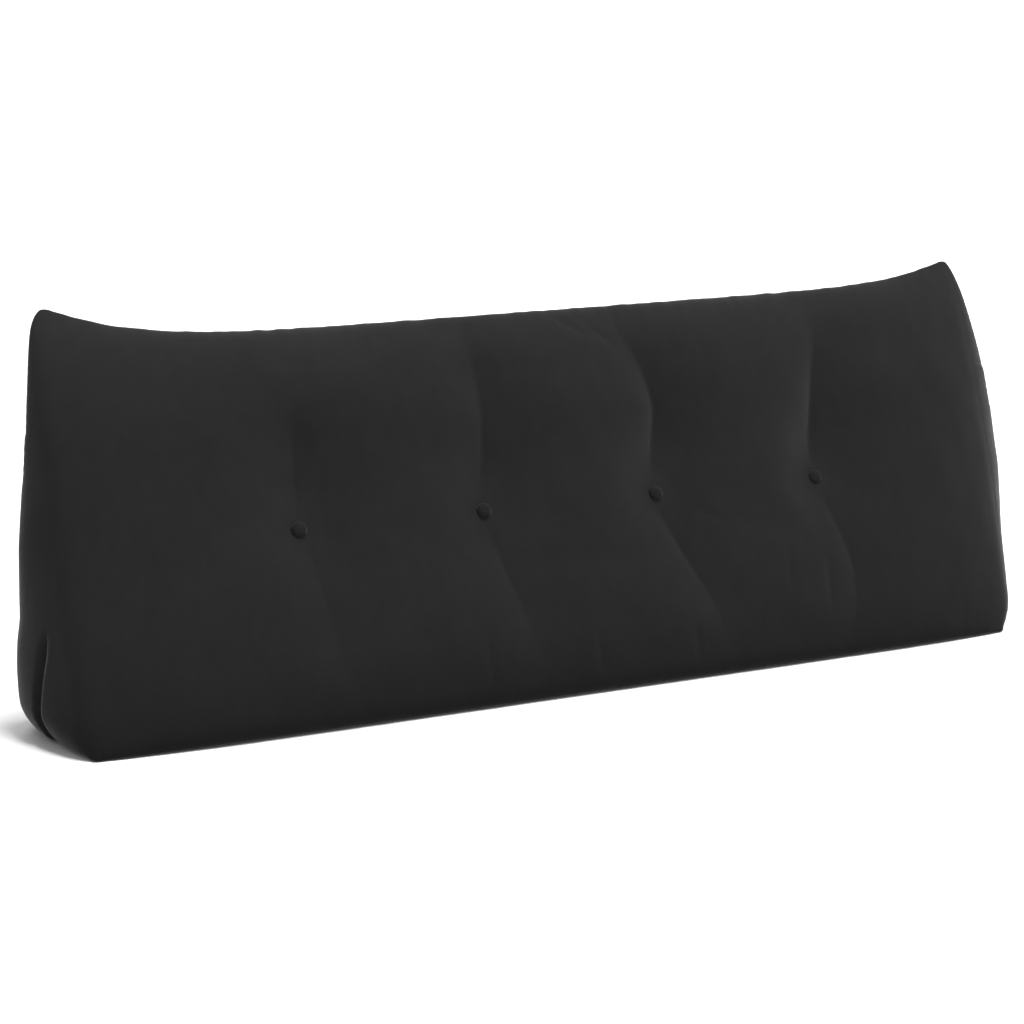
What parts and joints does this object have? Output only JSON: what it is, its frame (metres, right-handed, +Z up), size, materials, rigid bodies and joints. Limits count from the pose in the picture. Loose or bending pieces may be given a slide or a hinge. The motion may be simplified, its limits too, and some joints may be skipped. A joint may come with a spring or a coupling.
{
  "type": "wedge back-rest cushion",
  "caption": "Long wedge-shaped back-rest cushion with a tufted sloping front, an upright back with a zip, and triangular ends.",
  "frame": {"origin": "middle of the footprint, on the surface that the cushion stands on", "axes": "+X along the width, -Y towards the tufted sloping front, +Y out of the upright back, +Z up"},
  "size_m": [1.34, 0.2, 0.5],
  "materials": {
    "cover_fabric": "short-pile microfibre velvet",
    "casing_fabric": "plain non-woven",
    "fibre": "loose polyester fibre",
    "zip_tape": "woven tape",
    "zip_coil": "nylon",
    "zip_metal": "satin enamel",
    "button_metal": "plain",
    "cord_twine": "waxed twine",
    "button_plastic": "satin",
    "label_satin": "satin ribbon"
  },
  "bodies": {
    "cushion": {"front_panel": "cover_fabric", "back_panel_upper": "cover_fabric", "back_panel_lower": "cover_fabric", "bottom_panel": "cover_fabric", "left_gusset": "cover_fabric", "right_gusset": "cover_fabric", "casing_front": "casing_fabric", "casing_back": "casing_fabric", "casing_bottom": "casing_fabric", "casing_left_end": "casing_fabric", "casing_right_end": "casing_fabric", "fibre_fill": "fibre", "zip_tape_upper": "zip_tape", "zip_tape_lower": "zip_tape", "zip_coil_upper": "zip_coil", "zip_coil_lower": "zip_coil", "zip_top_stops": "zip_metal", "zip_end_stop": "zip_metal", "care_label": "label_satin", "button_cover_1": "cover_fabric", "button_cover_2": "cover_fabric", "button_cover_3": "cover_fabric", "button_cover_4": "cover_fabric", "button_shell_1": "button_metal", "button_shell_2": "button_metal", "button_shell_3": "button_metal", "button_shell_4": "button_metal", "button_back_plate_1": "button_metal", "button_back_plate_2": "button_metal", "button_back_plate_3": "button_metal", "button_back_plate_4": "button_metal", "tufting_cord_1": "cord_twine", "tufting_cord_2": "cord_twine", "tufting_cord_3": "cord_twine", "tufting_cord_4": "cord_twine", "back_button_1": "button_plastic", "back_button_2": "button_plastic", "back_button_3": "button_plastic", "back_button_4": "button_plastic", "cord_knot_1": "cord_twine", "cord_knot_2": "cord_twine", "cord_knot_3": "cord_twine", "cord_knot_4": "cord_twine"},
    "slider": {"zip_slider": "zip_metal"},
    "pull_tab": {"zip_pull_tab": "zip_metal"}
  },
  "joints": [
    {"name": "zip_slide", "type": "slide", "parent": "cushion", "child": "slider", "axis": [-1, 0, 0], "range_m": [0, 1.24]},
    {"name": "pull_tab_hinge", "type": "hinge", "parent": "slider", "child": "pull_tab", "pos_m": [0.621, 0.0943, 0.11], "axis": [0, 0, -1], "range_deg": [0, 175]}
  ]
}
